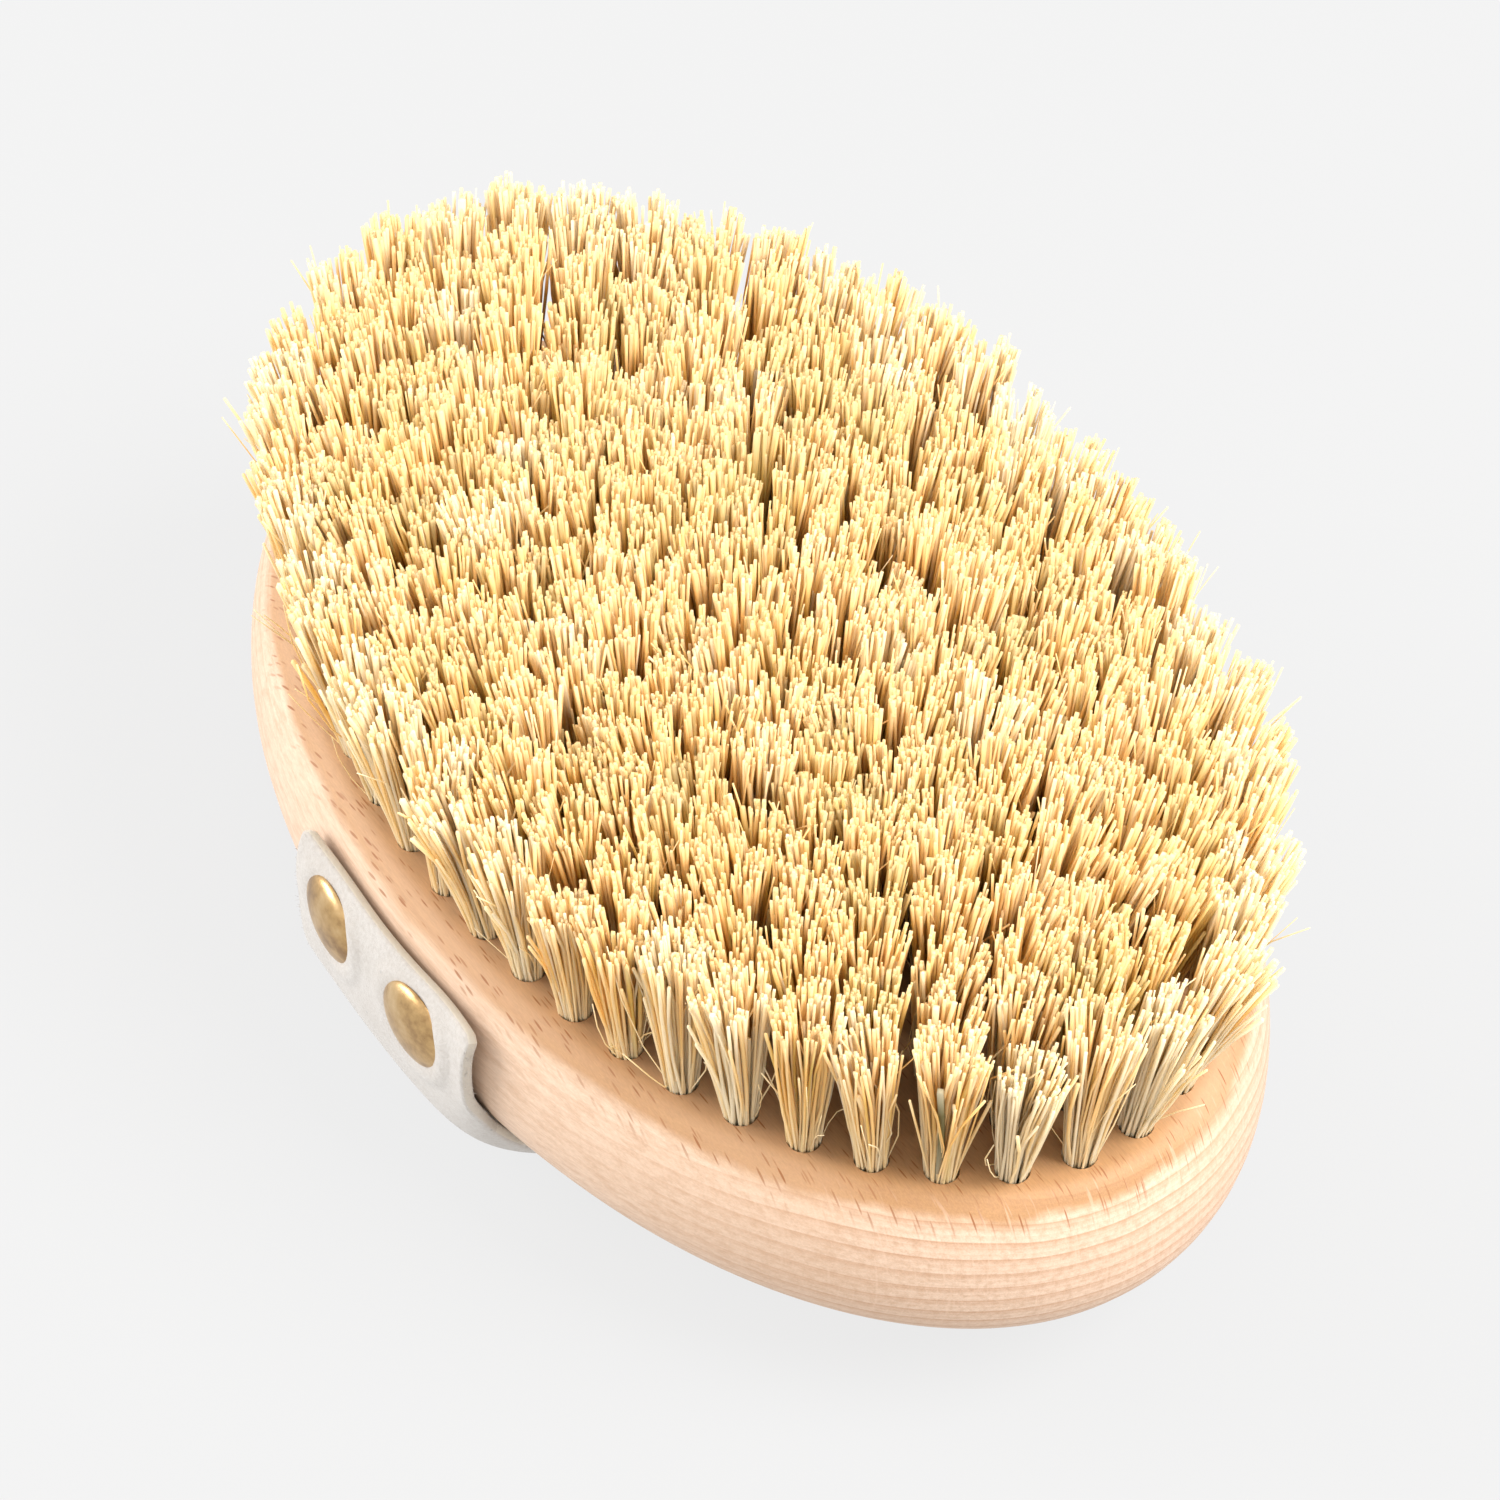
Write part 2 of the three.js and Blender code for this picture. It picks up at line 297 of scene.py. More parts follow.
SHORT_BELOW = 0.14  # a fibre's kind, drawn from 0 to 1, makes it short below this
STRAY_BELOW = 0.175  # and a thin stray from there up to this
SHORT_BY = (0.8, 6.0)
STALK_SHARE = 0.12  # of tufts with one broad stalk
WISP_RADII = (0.045, 0.085)
STALK_RADII = (0.26, 0.42)
STALK_TONES = (0.95, 1.0)
EDGE_SEED = 100
ROW_SEED = 500


def scatter(rng, size):
    """A small random step in the plane of the face."""
    return Vector((rng.gauss(0, size), rng.gauss(0, size), 0))


def fibre_path(rng, root, tip, bend):
    """Points up one fibre: straight out of its hole, then bowing out to its tip."""
    bow = scatter(rng, bend)
    foot = Vector((root.x, root.y, FACE_Z))
    points = [foot - Vector((0, 0, FIBRE_DEPTH))]
    steps = FIBRE_POINTS - 2
    for i in range(steps + 1):
        t = i / steps
        spread = 0.7 * t + 0.3 * t * t
        point = foot + (tip - foot) * spread
        point.z = foot.z + (tip.z - foot.z) * t
        points.append(point + bow * math.sin(math.pi * t))
    return points


def fibre_radii(width, slim):
    """Radii up one fibre, from slim inside the hole to full width at the cut tip."""
    return [width * (slim + (1 - slim) * i / (FIBRE_POINTS - 1)) for i in range(FIBRE_POINTS)]


def shortened(tip_offset, length):
    """Height that a fibre of one length reaches once its tip stands off to the side."""
    return math.sqrt(max(1.0, length * length - tip_offset.length_squared))


def tuft_locks(rng, spread):
    """(offset, height, tone) of each lock that the tips of one tuft gather into."""
    locks = []
    for i in range(LOCKS):
        angle = GOLDEN_ANGLE * i + rng.uniform(0, 2)
        reach = spread * rng.uniform(*LOCK_REACH)
        offset = Vector((math.cos(angle), math.sin(angle), 0)) * reach
        locks.append((offset, rng.gauss(0, 1.0), rng.gauss(0, 0.1)))
    return locks


def tuft_fibres(rng, place, lean, spread_range, tone_shift, wisps):
    """(points, radii, tone) of every fibre in one tuft. Tone picks the fibre's colour."""
    centre = Vector((*place, 0))
    spread = rng.uniform(*spread_range)
    tuft_height = TIP_Z - FACE_Z + rng.gauss(0, 0.6)
    tilt = Vector((*lean, 0)) + scatter(rng, 0.65)
    tuft_tone = tone_shift + rng.gauss(0, 0.12)
    locks = tuft_locks(rng, spread)
    fibres = []
    for i in range(FIBRES_PER_TUFT):
        share = math.sqrt((i + 0.5) / FIBRES_PER_TUFT)
        angle = i * GOLDEN_ANGLE + rng.gauss(0, 0.2)
        out = Vector((math.cos(angle), math.sin(angle), 0))
        root = centre + out * share * BUNDLE_RADIUS
        reach = out * share * spread
        lock, lock_height, lock_tone = min(locks, key=lambda item: (item[0] - reach).length)
        reach = reach.lerp(lock, rng.uniform(*LOCK_PULL)) + scatter(rng, 0.28) + tilt
        width = FIBRE_RADIUS * rng.lognormvariate(0, 0.24)
        length = tuft_height + 0.5 * lock_height + rng.gauss(0, 0.35)
        bend = 0.28
        kind = rng.random()
        if kind < SHORT_BELOW:
            length -= rng.uniform(*SHORT_BY)
        elif kind < STRAY_BELOW:
            reach += scatter(rng, 3.0)
            width *= rng.uniform(0.3, 0.6)
            bend = 1.0
        tip = centre + reach
        tip.z = FACE_Z + shortened(reach, length)
        tone = rng.gauss(0.45, 0.17) + tuft_tone + lock_tone
        tone = min(TONE_RANGE[1], max(TONE_RANGE[0], tone))
        points = fibre_path(rng, root, tip, bend)
        fibres.append((points, fibre_radii(width, rng.uniform(0.7, 0.85)), tone))
    if rng.random() < STALK_SHARE:
        fibres.append(broad_stalk(rng, centre, tilt, spread))
    fibres += [wisp(rng, centre, tilt) for _ in range(rng.randint(0, wisps))]
    return fibres


def wisp(rng, centre, tilt):
    """A thin stray hair that leaves its tuft low down and curls across its neighbours."""
    out = scatter(rng, 1.0).normalized()
    reach = out * rng.uniform(2.5, 5.0) + tilt
    tip = centre + reach
    tip.z = FACE_Z + rng.uniform(0.3, 0.8) * (TIP_Z - FACE_Z)
    points = fibre_path(rng, centre + out * BUNDLE_RADIUS * 0.95, tip, 0.6)
    return points, fibre_radii(rng.uniform(*WISP_RADII), 1.0), rng.uniform(0.02, 0.3)


def broad_stalk(rng, centre, tilt, spread):
    """A thick olive or brown stalk, the kind that slips into a bunch of plant fibre."""
    out = scatter(rng, 1.0).normalized()
    reach = out * spread * rng.uniform(0.3, 0.9) + tilt
    tip = centre + reach
    tip.z = FACE_Z + shortened(reach, (TIP_Z - FACE_Z) * rng.uniform(0.7, 0.97))
    points = fibre_path(rng, centre + out * BUNDLE_RADIUS * 0.7, tip, 0.3)
    return points, fibre_radii(rng.uniform(*STALK_RADII), 1.0), rng.uniform(*STALK_TONES)


def fibres_to_mesh(name, fibres):
    """Sweeps every fibre with a small section and stores its tone and rise on the mesh."""
    curve = bpy.data.curves.new(name, "CURVE")
    curve.dimensions = "3D"
    curve.bevel_depth = 1.0
    curve.bevel_resolution = 0
    for points, radii, _ in fibres:
        spline = curve.splines.new("POLY")
        spline.points.add(len(points) - 1)
        spline.points.foreach_set("co", [c for p in points for c in (*p, 1.0)])
        spline.points.foreach_set("radius", radii)
    holder = bpy.data.objects.new(name, curve)
    SCENE.collection.objects.link(holder)
    mesh = evaluated_mesh(holder)
    bpy.data.objects.remove(holder)
    bm = bmesh.new()
    bm.from_mesh(mesh)
    close_and_turn_out(bm)
    bm.to_mesh(mesh)
    bm.free()
    steps = len(fibres[0][0])
    per_fibre = steps * FIBRE_SIDES
    if len(mesh.vertices) != per_fibre * len(fibres):
        raise ValueError(f"{name}: {len(mesh.vertices)} vertices for {len(fibres)} fibres")
    tone = mesh.attributes.new("fibre_tone", "FLOAT", "POINT")
    tones = np.repeat([fibre_tone for _, _, fibre_tone in fibres], per_fibre)
    tone.data.foreach_set("value", tones.astype(np.float32))
    rise = mesh.attributes.new("fibre_rise", "FLOAT", "POINT")
    one = np.repeat(np.arange(steps) / (steps - 1), FIBRE_SIDES)
    rise.data.foreach_set("value", np.tile(one, len(fibres)).astype(np.float32))
    mesh.shade_smooth()
    return mesh


def short_hair(rng, root, direction, length, radius):
    """A four-point wisp that curls a little and thins towards its tip."""
    side = Vector((rng.gauss(0, 1), rng.gauss(0, 1), rng.gauss(0, 1))) * length * 0.25
    points = [root + direction * length * t + side * t * t for t in (0, 0.35, 0.7, 1)]
    return points, [radius, radius, radius * 0.8, radius * 0.4], rng.random()


def build_tufts(name, fibres, node):
    """One piece of fibres that stands for one CAD node."""
    piece = place_mesh(name, fibres_to_mesh(name, fibres))
    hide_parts(node)
    return piece


def outward(x, y):
    """Unit direction out of the oval rows, or nothing at their centre."""
    direction = Vector((x / ROW_HALF_LENGTH**2, y / ROW_HALF_WIDTH**2))
    return direction.normalized() if direction.length > 0 else direction


def build_bristles(rows):
    """The outermost tufts one by one, then each inner row as one piece."""
    pieces = []
    for i, place in enumerate(rows[0]):
        rng = Random(EDGE_SEED + i)
        lean = outward(*place) * OUTER_LEAN
        fibres = tuft_fibres(rng, place, lean, OUTER_SPREAD, OUTER_TONE, OUTER_WISPS)
        pieces.append(build_tufts(f"fibres_{EDGE_TUFTS[i]}", fibres, EDGE_TUFTS[i]))
    inner_rows = rows[1:]
    for i, places in enumerate(inner_rows):
        node = "tuft_row_centre" if i == len(inner_rows) - 1 else f"tuft_row_{i + 2}"
        rng = Random(ROW_SEED + i)
        row_lean = OUTER_LEAN * (1 - (i + 1) / LEAN_FADE_ROWS)
        fibres = []
        for place in places:
            lean = outward(*place) * row_lean
            fibres += tuft_fibres(rng, place, lean, INNER_SPREAD, INNER_TONE, INNER_WISPS)
        pieces.append(build_tufts(f"fibres_{node}", fibres, node))
    return pieces


# ================================================================ strap
STRAP_THICKNESS = 1.8  # leather and the slack behind it
LEATHER_THICKNESS = 1.35
STRAP_GAP = 0.12  # from the block's widest outline to the strap
STRAP_FLAT_HALF = 24.0
STRAP_CORNER = 0.9  # radius of the band's two ends
STRAP_SQUARENESS = 2.4  # of its turn under the back: 2 is elliptical, more is squarer
STRAP_CURL = 0.95  # how much rounder the turn is at the band's +X edge
SLACK = 0.2
LIFT = 0.3  # how far the leather stands off the wood near its ends
LIFT_FROM_Z = 16.0
LIFT_RANGE = 10.0
CORNER_LIFT = (0.5, 1.2)  # more of it at the -X and the +X corners
CORNER_FROM = 0.45  # share of the half width
CORNER_RANGE = 0.55
NAIL_PRESS = 0.8  # share of the stand-off that a nail presses away
PUFF = 0.38  # height of the raised ring round a nail head
PUFF_TILT = 0.15  # more of it towards +X and up
PUFF_AT = 1.1  # in head radii from the nail
PUFF_BREADTH = 0.17
PUFF_END_GAP = 0.5  # the ring stays this far below the band's end
PUFF_FADE = 3.0
WAVINESS = 0.14
EDGE_ROUNDING = 0.42
NAP_WISPS = 5200
NAP_SEED = 77
NAP_INSET = 0.25


def strap_midline(squareness):
    """(distance outwards, height) down one side of the strap and along to its flat middle."""
    half = STRAP_THICKNESS / 2
    wall = HALF_WIDTH + STRAP_GAP + half
    power = 2 / squareness
    line = [(wall - rim_inset(z), z) for z in np.linspace(STRAP_TOP_Z, WIDEST_Z, 24)]
    for a in arc(60, 0, math.pi / 2)[1:]:
        out = (wall - STRAP_FLAT_HALF) * max(0.0, math.cos(a)) ** power
        down = (WIDEST_Z - half) * math.sin(a) ** power
        line.append((STRAP_FLAT_HALF + out, WIDEST_Z - down))
    line.append((0.0, half))
    return line


def strap_route(x=0.0):
    """The whole midline across the brush at one X: y, z and the length travelled so far."""
    side = strap_midline(STRAP_SQUARENESS - STRAP_CURL * max(0.0, 2 * x / STRAP_WIDTH) ** 4)
    whole = [(-y, z) for y, z in side] + [(y, z) for y, z in reversed(side[:-1])]
    y, z = np.array(whole).T
    travelled = np.concatenate([[0], np.cumsum(np.hypot(np.diff(y), np.diff(z)))])
    return y, z, travelled


def outline_draw_in(x):
    """How far the oval outline lies inside its full half width at one X."""
    return HALF_WIDTH * (1 - math.sqrt(1 - (x / HALF_LENGTH) ** 2))


def nail_centres():
    """(x, y, z) of each nail head's seat on the strap."""
    seats = []
    for name in NAILS:
        low, high = box_mm(name)
        side = 1 if high.y > 0 else -1
        x, z = (low.x + high.x) / 2, (low.z + high.z) / 2
        seats.append((x, side * (HALF_WIDTH - outline_draw_in(x)), z))
    return seats


def strap_grip(z):
    """0 under the back, 1 where the strap lies against the block's side."""
    share = min(1.0, max(0.0, (z - STRAP_THICKNESS) / (WIDEST_Z - STRAP_THICKNESS)))
    return share * share * (3 - 2 * share)


def strap_stand_off(x, z, side, nails):
    """How far the leather stands off its route: slack, lifted corners, puffs round nails."""
    away = SLACK * max(0.0, 1 - ((z - 0.5 * WIDEST_Z) / (0.5 * WIDEST_Z)) ** 2)
    corner = max(0.0, abs(x) / (STRAP_WIDTH / 2) - CORNER_FROM) / CORNER_RANGE
    high = max(0.0, min(1.0, (z - LIFT_FROM_Z) / LIFT_RANGE))
    away += high * (LIFT + corner**2 * CORNER_LIFT[x > 0])
    for nail_x, nail_y, nail_z in nails:
        if side * nail_y > 0:
            far = math.hypot(x - nail_x, z - nail_z)
            gap = far / NAIL_HEAD_RADIUS
            upper_right = (x - nail_x + z - nail_z) / (far + 0.5)
            below_end = min(1.0, max(0.0, (STRAP_TOP_Z - PUFF_END_GAP - z) / PUFF_FADE))
            ring = math.exp(-(((gap - PUFF_AT) / PUFF_BREADTH) ** 2))
            away *= 1 - NAIL_PRESS * math.exp(-(gap**2))
            away += (PUFF + PUFF_TILT * upper_right) * below_end * ring
    return away


def strap_sheet(travelled):
    """The strap's middle layer: a grid bent along its route."""
    length = travelled[-1]
    bm = bmesh.new()
    bmesh.ops.create_grid(bm, x_segments=64, y_segments=260, size=0.5)
    nails = nail_centres()
    routes = {}
    for vert in bm.verts:
        along = (vert.co.y + 0.5) * length
        from_end = min(along, length - along)
        narrow = 0.0
        if from_end < STRAP_CORNER:
            narrow = STRAP_CORNER - math.sqrt(STRAP_CORNER**2 - (STRAP_CORNER - from_end) ** 2)
        x = vert.co.x * (STRAP_WIDTH - 2 * narrow)
        column = round(vert.co.x, 4)
        if column not in routes:
            routes[column] = strap_route(column * STRAP_WIDTH)
        y_own, z_own, _ = routes[column]
        y = float(np.interp(along, travelled, y_own))
        z = float(np.interp(along, travelled, z_own))
        side = -1 if y < 0 else 1
        grip = strap_grip(z)
        away = strap_stand_off(x, z, side, nails)
        away += WAVINESS * noise.noise(Vector((x, along, 3.0)) * 0.1) * grip
        vert.co = (x, y + side * (away - outline_draw_in(x) * grip), z)
    return bm


def build_strap():
    """The leather band, with its cut edges marked and rounded."""
    _, _, travelled = strap_route()
    bm = strap_sheet(travelled)
    bmesh.ops.recalc_face_normals(bm, faces=bm.faces)
    middle = min(bm.faces, key=lambda face: face.calc_center_median().z)
    if middle.normal.z > 0:
        bmesh.ops.reverse_faces(bm, faces=bm.faces)
    bm.normal_update()
    half = STRAP_THICKNESS / 2
    outer_layer = [vert.co + vert.normal * half for vert in bm.verts]
    for vert, outer in zip(bm.verts, outer_layer):
        vert.co = outer
    bmesh.ops.solidify(bm, geom=bm.faces[:], thickness=LEATHER_THICKNESS)
    bmesh.ops.recalc_face_normals(bm, faces=bm.faces)
    cut_edge = bm.faces.layers.float.new("cut_edge")
    for face in bm.faces:
        if max(edge.calc_length() for edge in face.edges) > 0.8 * LEATHER_THICKNESS:
            # side cut edges get 1.0, top and end cut edges 0.5; the suede material paints 0.5
            # lighter, painted light against the block's shadow on the top edge
            face[cut_edge] = 1.0 if abs(face.normal.x) > 0.7 else 0.5
    sharp = math.radians(60)
    rim = [edge for edge in bm.edges if edge.is_manifold and edge.calc_face_angle(0) > sharp]
    bmesh.ops.bevel(
        bm,
        geom=rim,
        offset=EDGE_ROUNDING,
        offset_type="OFFSET",
        affect="EDGES",
        segments=3,
        profile=0.5,
        material=-1,
    )
    mesh = to_mesh("suede_strap", bm)
    shade(mesh, 60)
    strap = place_mesh("suede_strap", mesh)
    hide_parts("hand_strap")
    return strap


def build_nap():
    """Loose wisps of suede along the strap's cut edges."""
    rng = Random(NAP_SEED)
    nails = nail_centres()
    edge_x = STRAP_WIDTH / 2 - NAP_INSET
    routes = {across: strap_route(across * edge_x) for across in (-1, 1)}
    wisps = []
    for _ in range(NAP_WISPS):
        across = rng.choice((-1, 1))
        x = across * edge_x
        y_line, z_line, travelled = routes[across]
        along = rng.uniform(1, travelled[-1] - 1)
        step = np.array([along - 0.5, along + 0.5])
        y_pair = np.interp(step, travelled, y_line)
        z_pair = np.interp(step, travelled, z_line)
        y, z = y_pair.mean(), z_pair.mean()
        if z < STRAP_THICKNESS:
            continue
        out = Vector((0, z_pair[1] - z_pair[0], y_pair[0] - y_pair[1])).normalized()
        side = -1 if y < 0 else 1
        away = strap_stand_off(x, z, side, nails) - outline_draw_in(x) * strap_grip(z)
        depth = STRAP_THICKNESS / 2 - rng.uniform(0.1, 0.9) * LEATHER_THICKNESS
        root = Vector((x, y + side * away, z)) + out * depth
        aim = Vector((across * rng.uniform(0.4, 1), 0, rng.gauss(0, 0.5)))
        aim = (aim + out * rng.uniform(-0.4, 0.8)).normalized()
        length, radius = rng.uniform(0.2, 0.55), rng.uniform(0.02, 0.035)
        wisps.append(short_hair(rng, root, aim, length, radius))
    nap = place_mesh("suede_nap", fibres_to_mesh("suede_nap", wisps))
    return nap


# ================================================================ nails
NAIL_HEAD_RADIUS = 4.95
NAIL_HEAD_HEIGHT = 1.6
NAIL_SINK = 0.38  # how far the head is pressed into the leather
NAIL_DRIVE = 0.1
NAIL_LENGTH = 10.0
NAIL_POINT = 2.0
NAIL_SHANK_RADII = (0.75, 0.8)  # at its point and under the head
NAIL_SKIRT = 0.12  # how far the head's rim turns down
NAIL_SIDES = 64


def build_nail(node, seat):
    """A domed nail head with a thin skirt, and its shank into the wood."""
    x, y, z = seat
    outline = Vector((x / HALF_LENGTH**2, y / HALF_WIDTH**2, 0)).normalized()
    reach = STRAP_THICKNESS + STRAP_GAP - NAIL_SINK
    points = [
        (0, -NAIL_LENGTH),
        (NAIL_SHANK_RADII[0], NAIL_POINT - NAIL_LENGTH),
        (NAIL_SHANK_RADII[1], reach),
        (NAIL_HEAD_RADIUS - 0.5, reach),
        (NAIL_HEAD_RADIUS - 0.1, reach - NAIL_SKIRT),
    ]
    points += [
        (NAIL_HEAD_RADIUS * math.cos(a), reach + NAIL_HEAD_HEIGHT * math.sin(a))
        for a in arc(18, 0, math.pi / 2)
    ]
    bm = bmesh.new()
    profile_spin(bm, points, NAIL_SIDES)
    close_and_turn_out(bm)
    turn = Vector((0, 0, 1)).rotation_difference(outline).to_matrix().to_4x4()
    start = Vector(seat) - outline * (rim_inset(z) + NAIL_DRIVE)
    bmesh.ops.transform(bm, matrix=Matrix.Translation(start) @ turn, verts=bm.verts)
    mesh = to_mesh(node, bm)
    shade(mesh, 40)
    nail = place_mesh(f"brass_{node}", mesh)
    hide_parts(node)
    return nail


# ================================================================ materials
def new_material(name):
    """A node material with its tree and its main shader."""
    material = bpy.data.materials.new(name)
    material.use_nodes = True
    tree = material.node_tree
    return material, tree, tree.nodes["Principled BSDF"]


def attribute_value(tree, name):
    """A value stored on the mesh."""
    made = tree.nodes.new("ShaderNodeAttribute")
    made.attribute_name = name
    return made.outputs["Fac"]


def link(tree, source, target):
    tree.links.new(source, target)


def ramp(tree, fac, stops):
    """A colour ramp over (position, colour) stops."""
    made = tree.nodes.new("ShaderNodeValToRGB")
    elements = made.color_ramp.elements
    while len(elements) > 1:
        elements.remove(elements[-1])
    elements[0].position, elements[0].color = stops[0][0], (*stops[0][1], 1)
    for position, colour in stops[1:]:
        elements.new(position).color = (*colour, 1)
    link(tree, fac, made.inputs["Fac"])
    return made.outputs["Color"]


def math_node(tree, operation, a, b=None, clamp=False):
    """One maths step on numbers or sockets."""
    made = tree.nodes.new("ShaderNodeMath")
    made.operation = operation
    made.use_clamp = clamp
    for socket, value in zip(made.inputs, (a, b)):
        if value is None:
            continue
        if isinstance(value, (int, float)):
            socket.default_value = value
        else:
            link(tree, value, socket)
    return made.outputs[0]


def scaled(tree, value, factor, offset=None, clamp=False):
    """value * factor, and + offset where one is given; the last step may be clamped."""
    if offset is None:
        return math_node(tree, "MULTIPLY", value, factor, clamp=clamp)
    return math_node(tree, "ADD", scaled(tree, value, factor), offset, clamp=clamp)


def rise_above(tree, a, b, steepness):
    """(a - b) * steepness, held between 0 and 1."""
    return scaled(tree, math_node(tree, "SUBTRACT", a, b), steepness, clamp=True)


def mix_colour(tree, fac, a, b, blend="MIX"):
    """A mix of two colours, each a tuple or a socket."""
    made = tree.nodes.new("ShaderNodeMix")
    made.data_type = "RGBA"
    made.blend_type = blend
    made.clamp_factor = True
    for socket, value in zip((made.inputs[0], made.inputs[6], made.inputs[7]), (fac, a, b)):
        if isinstance(value, (int, float)):
            socket.default_value = value
        elif isinstance(value, tuple):
            socket.default_value = (*value, 1)
        else:
            link(tree, value, socket)
    return made.outputs[2]


def coordinates(tree, scale=(1, 1, 1), turn=(0, 0, 0), shift=(0, 0, 0)):
    """Object coordinates in millimetres, stretched or turned for one pattern."""
    place = tree.nodes.new("ShaderNodeTexCoord")
    mapping = tree.nodes.new("ShaderNodeMapping")
    mapping.inputs["Scale"].default_value = [s / MM for s in scale]
    mapping.inputs["Rotation"].default_value = turn
    mapping.inputs["Location"].default_value = shift
    link(tree, place.outputs["Object"], mapping.inputs["Vector"])
    return mapping.outputs["Vector"]


def noise_value(tree, vector, scale, detail=3.0, roughness=0.5):
    """Fractal noise about 0.5."""
    made = tree.nodes.new("ShaderNodeTexNoise")
    made.inputs["Scale"].default_value = scale
    made.inputs["Detail"].default_value = detail
    made.inputs["Roughness"].default_value = roughness
    link(tree, vector, made.inputs["Vector"])
    return made.outputs["Fac"]


def bump(tree, height, strength, distance, shader):
    """Relief on a shader, its distance in millimetres."""
    made = tree.nodes.new("ShaderNodeBump")
    made.inputs["Strength"].default_value = strength
    made.inputs["Distance"].default_value = distance * MM
    link(tree, height, made.inputs["Height"])
    link(tree, made.outputs["Normal"], shader.inputs["Normal"])


def smooth_step(tree, value, low, high):
    """0 below low, 1 above high, eased between."""
    made = tree.nodes.new("ShaderNodeMapRange")
    made.interpolation_type = "SMOOTHSTEP"
    made.inputs["From Min"].default_value = low
    made.inputs["From Max"].default_value = high
    link(tree, value, made.inputs["Value"])
    return made.outputs["Result"]


RING_PITCH = 1.75
FINE_RING_PITCH = 0.62
RING_SAG = 0.0022
RING_TILT = 0.06
RING_DRIFT = 5.0
LATE_WOOD = [(0.0, 0), (0.5, 0.15), (0.88, 0.7), (0.95, 1), (1.0, 0)]  # darkness through a ring
# The side colours are paler than the face colours: painted sheen from the bright surroundings on
# the sides and rounded rim.
PAINTED_SHEEN_SIDE_EARLY, PAINTED_SHEEN_SIDE_LATE = (0.69, 0.51, 0.38), (0.48, 0.28, 0.17)
FACE_EARLY, FACE_LATE = (0.43, 0.236, 0.106), (0.36, 0.184, 0.078)
STREAK_BROWN = (0.38, 0.20, 0.098)
PATCH_PALE = (0.55, 0.36, 0.235)
FLECK_BROWN = (0.27, 0.10, 0.032)
RAY_PALE = (0.66, 0.47, 0.34)


def beech_material():
    """Beech with growth rings as near-level layers, ray flecks and fine pores along X; its sides
    and rim are painted paler than its face as painted sheen.
    """
    material, tree, shader = new_material("beech")
    place = tree.nodes.new("ShaderNodeSeparateXYZ")
    link(tree, coordinates(tree), place.inputs["Vector"])
    facing = tree.nodes.new("ShaderNodeSeparateXYZ")
    link(tree, tree.nodes.new("ShaderNodeTexCoord").outputs["Normal"], facing.inputs["Vector"])
    wavy = noise_value(tree, coordinates(tree, (0.08, 0.2, 0.2), shift=(1, 7, 3)), 1.0, 3.0)
    upward = math_node(tree, "ADD", facing.outputs["Z"], scaled(tree, wavy, 0.3))
    # painted sheen: surfaces turning away from up fade to the paler side colours
    top_free_of_painted_sheen = smooth_step(tree, upward, 0.61, 0.82)
    ray_cut = smooth_step(tree, facing.outputs["Z"], 0.3, 0.6)

    level = ring_level(tree, place)
    ring = math_node(tree, "FRACT", math_node(tree, "DIVIDE", level, RING_PITCH))
    late = ramp(tree, ring, [(at, (grade,) * 3) for at, grade in LATE_WOOD])
    fine = math_node(tree, "FRACT", math_node(tree, "DIVIDE", level, FINE_RING_PITCH))
    late = mix_colour(tree, 0.25, late, as_colour(tree, fine))
    end_cut = smooth_step(tree, math_node(tree, "ABSOLUTE", facing.outputs["X"]), 0.2, 0.7)
    late = math_node(tree, "MULTIPLY", grey(tree, late), scaled(tree, end_cut, 0.75, 0.25))
    side_colour_with_painted_sheen = mix_colour(tree, late, PAINTED_SHEEN_SIDE_EARLY, PAINTED_SHEEN_SIDE_LATE)
    face_colour = mix_colour(tree, late, FACE_EARLY, FACE_LATE)
    base = mix_colour(tree, top_free_of_painted_sheen, side_colour_with_painted_sheen, face_colour)

    streak = noise_value(tree, coordinates(tree, (0.05, 1.6, 1.6)), 1.0, 4.0, 0.6)
    streak = scaled(tree, smooth_step(tree, streak, 0.35, 0.75), 0.4)
    base = mix_colour(tree, streak, base, STREAK_BROWN)
    grain = noise_value(tree, coordinates(tree, (0.7, 7.0, 7.0)), 1.0, 2.0, 0.7)
    grain_light = as_colour(tree, scaled(tree, grain, 0.5, 0.75))
    base = mix_colour(tree, 1.0, base, grain_light, "MULTIPLY")
    broad = noise_value(tree, coordinates(tree, (0.012, 0.05, 0.05), shift=(4, 2, 1)), 1.0, 2.0)
    broad = scaled(tree, smooth_step(tree, broad, 0.4, 0.7), 0.3)
    base = mix_colour(tree, broad, base, PATCH_PALE)

    flecks = math_node(tree, "MULTIPLY", fleck_mask(tree), ray_cut)
    base = mix_colour(tree, flecks, base, FLECK_BROWN)
    rays = noise_value(tree, coordinates(tree, (0.3, 2.6, 0.10), turn=(0.12, 0, 0)), 1.0, 1.0)
    rays = math_node(tree, "MULTIPLY", smooth_step(tree, rays, 0.62, 0.72), end_cut)
    base = mix_colour(tree, scaled(tree, rays, 0.35), base, RAY_PALE)
    link(tree, base, shader.inputs["Base Color"])
    shader.inputs["Roughness"].default_value = 0.55
    shader.inputs["Specular IOR Level"].default_value = 0.35
    pores = noise_value(tree, coordinates(tree, (0.25, 5.0, 5.0)), 1.0, 2.0)
    bump(tree, math_node(tree, "SUBTRACT", pores, flecks), 0.25, 0.05, shader)
    return material


